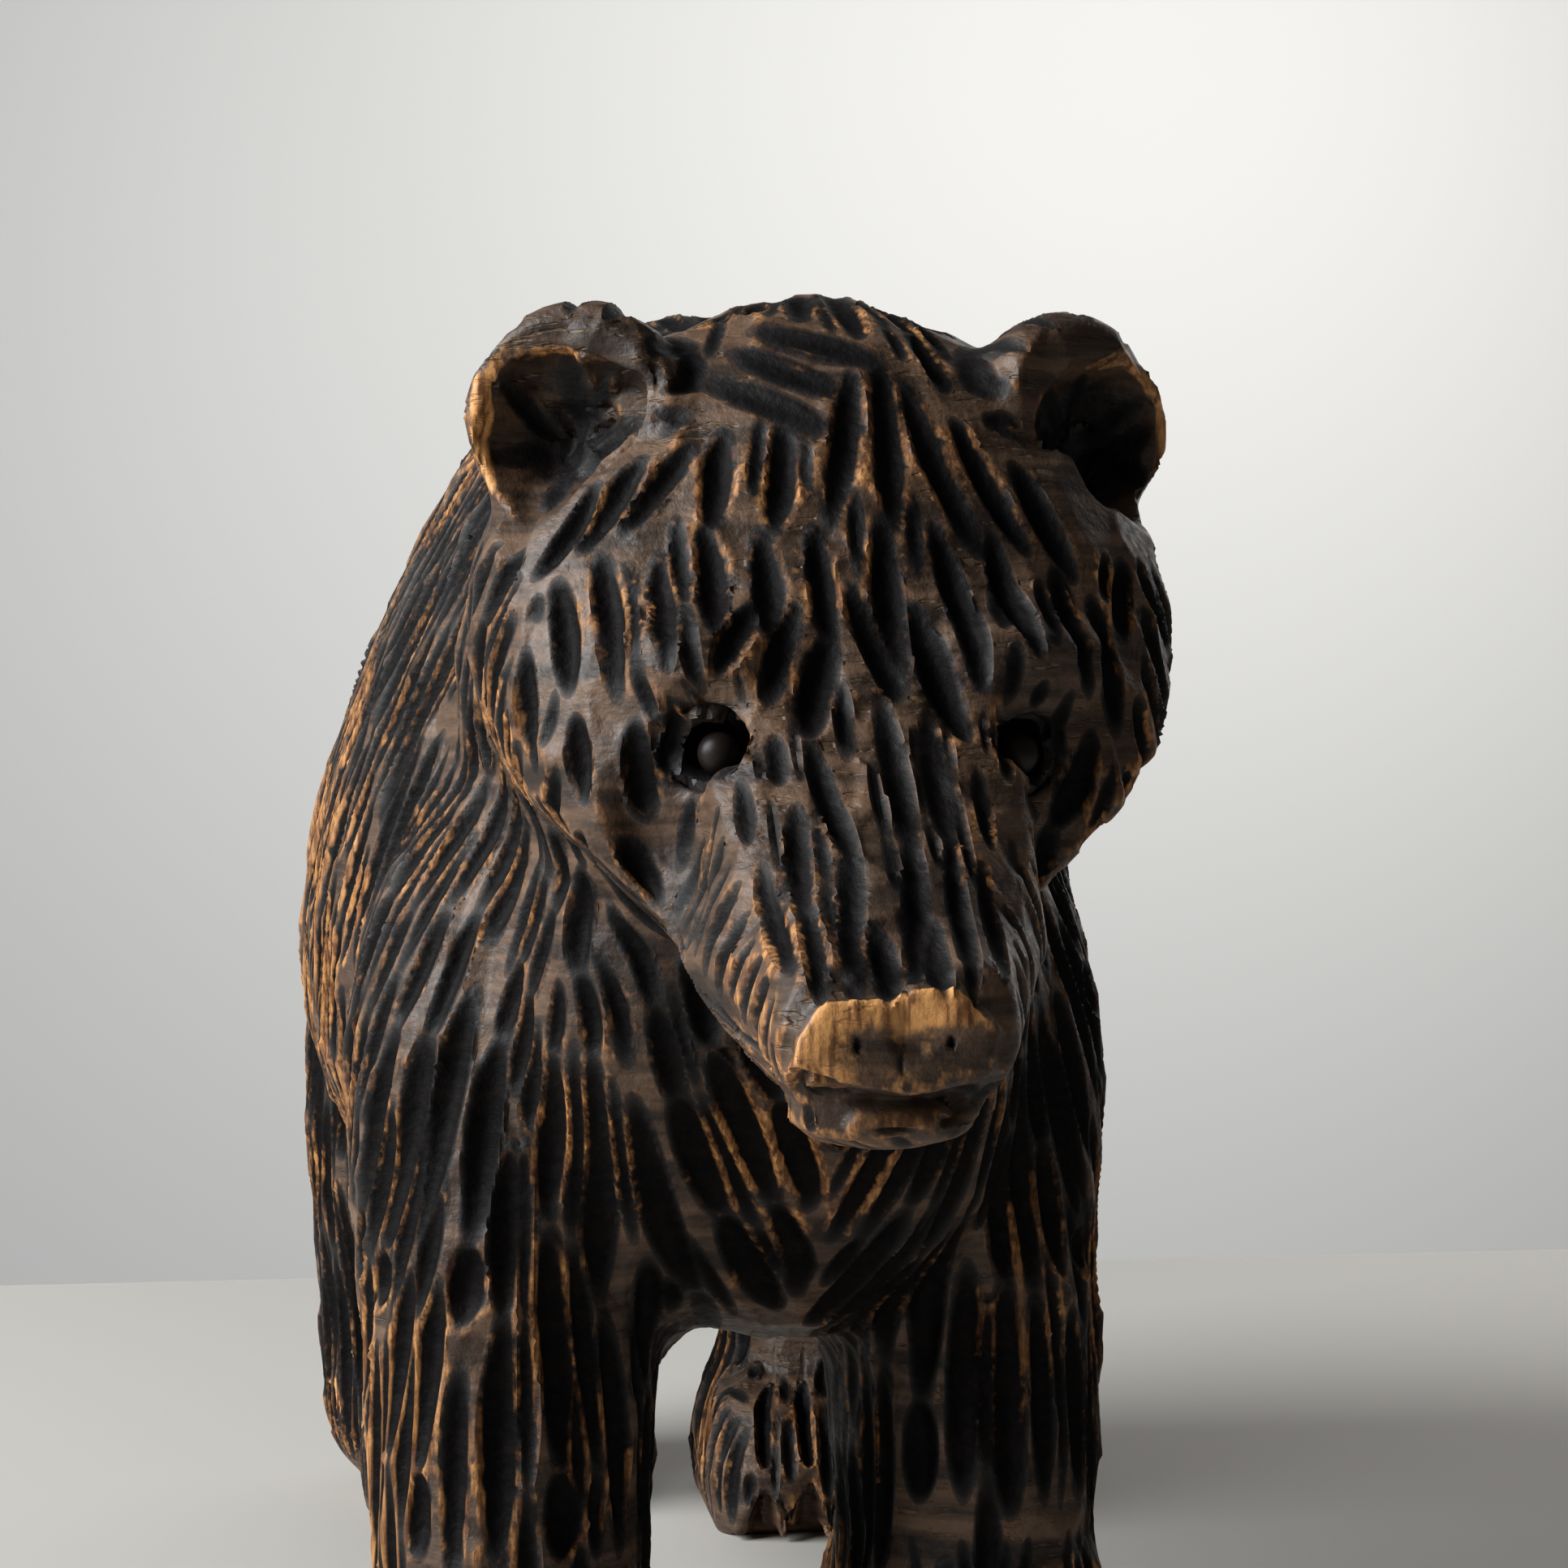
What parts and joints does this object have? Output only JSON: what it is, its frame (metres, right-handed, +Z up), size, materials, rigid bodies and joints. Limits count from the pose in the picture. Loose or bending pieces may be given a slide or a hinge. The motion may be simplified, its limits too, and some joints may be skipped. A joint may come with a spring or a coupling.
{
  "type": "carved wooden bear figurine",
  "caption": "Carved wooden bear in a walking pose, with gouge-cut fur, cupped ears, inset bead eyes, a blunt nose, clawed paws and a stub tail.",
  "frame": {"origin": "on the floor, under the middle of the bounding box", "axes": "+Z up, -Y the way the bear faces, +X towards the bear's own left side"},
  "size_m": [0.0998, 0.26, 0.1682],
  "materials": {
    "stained_wood": "satin",
    "bead_glass": "polished",
    "pin_wire": "drawn"
  },
  "bodies": {
    "root": {"carved_body": "stained_wood", "right_eye_bead": "bead_glass", "left_eye_bead": "bead_glass", "right_eye_pin": "pin_wire", "left_eye_pin": "pin_wire"}
  },
  "joints": []
}
